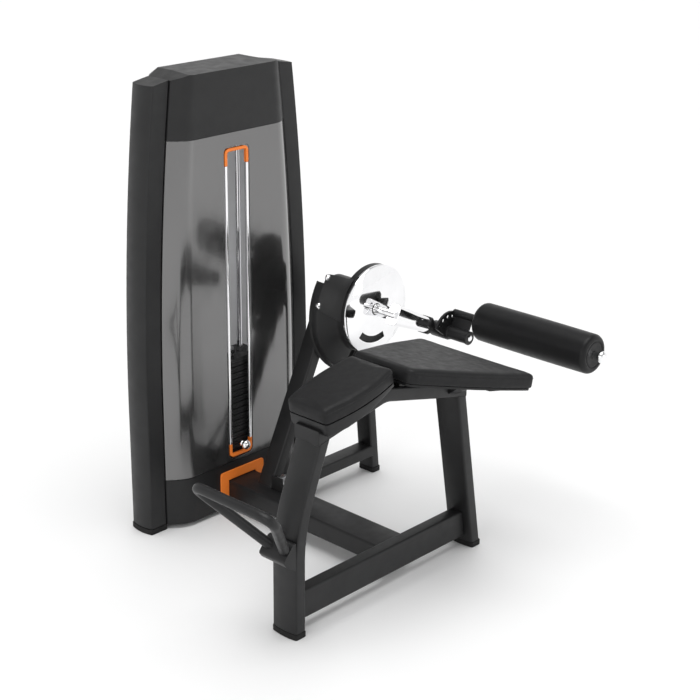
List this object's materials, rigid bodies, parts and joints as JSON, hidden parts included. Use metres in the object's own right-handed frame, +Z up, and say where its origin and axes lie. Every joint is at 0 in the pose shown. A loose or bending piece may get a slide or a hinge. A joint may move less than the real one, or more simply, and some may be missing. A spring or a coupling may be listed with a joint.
{
  "type": "prone leg curl machine",
  "caption": "Weight-stack gym machine with a tall shrouded tower, an angled bench, a grip bar and a swinging arm with a padded roller.",
  "frame": {"origin": "floor level under the centre of the machine's box", "axes": "+X from the weight tower to the bench, +Y from the head end to the roller end, +Z up"},
  "size_m": [1.1642, 1.3918, 1.474],
  "materials": {
    "frame_black": "satin black powder coat",
    "shroud_grey": "glossy dark grey",
    "orange": "glossy orange",
    "chrome": "mirror chrome",
    "steel": "turned steel",
    "iron": "black painted plates",
    "vinyl": "soft black upholstery",
    "roller_foam": "soft black sleeve",
    "plastic": "moulded black",
    "belt": "flat belt",
    "foot_rubber": "matte feet"
  },
  "bodies": {
    "frame": {"left_column": "frame_black", "right_column": "frame_black", "left_column_foot": "foot_rubber", "right_column_foot": "foot_rubber", "header": "frame_black", "front_shroud": "shroud_grey", "rear_shroud": "shroud_grey", "front_skirt": "frame_black", "window_trim_top": "orange", "window_trim_bottom": "orange", "window_strip_left": "chrome", "window_strip_right": "chrome", "guide_rod_left": "chrome", "guide_rod_right": "chrome", "top_crossmember": "frame_black", "base_crossmember": "frame_black", "top_pulley": "plastic", "beam_collar": "orange", "lower_plates": "iron", "lift_belt": "belt", "main_beam": "frame_black", "cross_beam": "frame_black", "front_left_leg": "frame_black", "front_right_leg": "frame_black", "front_left_foot": "foot_rubber", "front_right_foot": "foot_rubber", "top_rail": "frame_black", "handle_bar": "frame_black", "handle_bracket": "frame_black", "chest_pad": "vinyl", "chest_pad_tray": "plastic", "thigh_pad": "vinyl", "thigh_pad_bracket": "frame_black", "pivot_post": "frame_black", "rear_leg": "frame_black", "rear_foot": "foot_rubber", "rear_rail": "frame_black", "pivot_head": "frame_black", "cam_guard": "frame_black", "guard_plate": "frame_black", "foot_pulley_block": "frame_black", "foot_pulley": "plastic", "drive_belt": "belt"},
    "stack": {"upper_plates": "iron", "top_plate": "iron", "selector_stem": "steel"},
    "selector": {"selector_pin": "chrome"},
    "arm": {"pivot_shaft": "steel", "drive_cam": "iron", "inner_disc": "frame_black", "chrome_disc": "chrome", "arm_hub": "chrome", "lever_arm": "chrome", "arm_socket": "frame_black", "sleeve_pin": "chrome"},
    "lock": {"pop_pin": "chrome"},
    "bracket": {"index_plate": "frame_black", "roller_axle": "frame_black"},
    "roller": {"leg_roller": "roller_foam", "roller_knob": "chrome"}
  },
  "joints": [
    {"name": "stack_lift", "type": "slide", "parent": "frame", "child": "stack", "axis": [0, 0, 1], "range_m": [0, 0.19], "deforming": ["lift_belt"]},
    {"name": "selector_pin_slide", "type": "slide", "parent": "stack", "child": "selector", "axis": [1, 0, 0], "range_m": [0, 0.07]},
    {"name": "arm_pivot", "type": "hinge", "parent": "frame", "child": "arm", "pos_m": [-0.4891, 0.36388, 0.67], "axis": [1, 0, 0], "range_deg": [0, 110]},
    {"name": "pop_pin_slide", "type": "slide", "parent": "arm", "child": "lock", "axis": [-1, 0, 0], "range_m": [0, 0.012], "stiffness_N_per_m": 900, "springref_m": -0.01},
    {"name": "bracket_pivot", "type": "hinge", "parent": "arm", "child": "bracket", "pos_m": [-0.4891, 0.60088, 0.559], "axis": [1, 0, 0], "range_deg": [0, 75]},
    {"name": "roller_spin", "type": "hinge", "parent": "bracket", "child": "roller", "pos_m": [-0.4891, 0.63188, 0.619], "axis": [1, 0, 0], "continuous": true}
  ],
  "couplings": [
    {"joint": "arm_pivot", "follows": "stack_lift", "rad_per_m": 10}
  ]
}
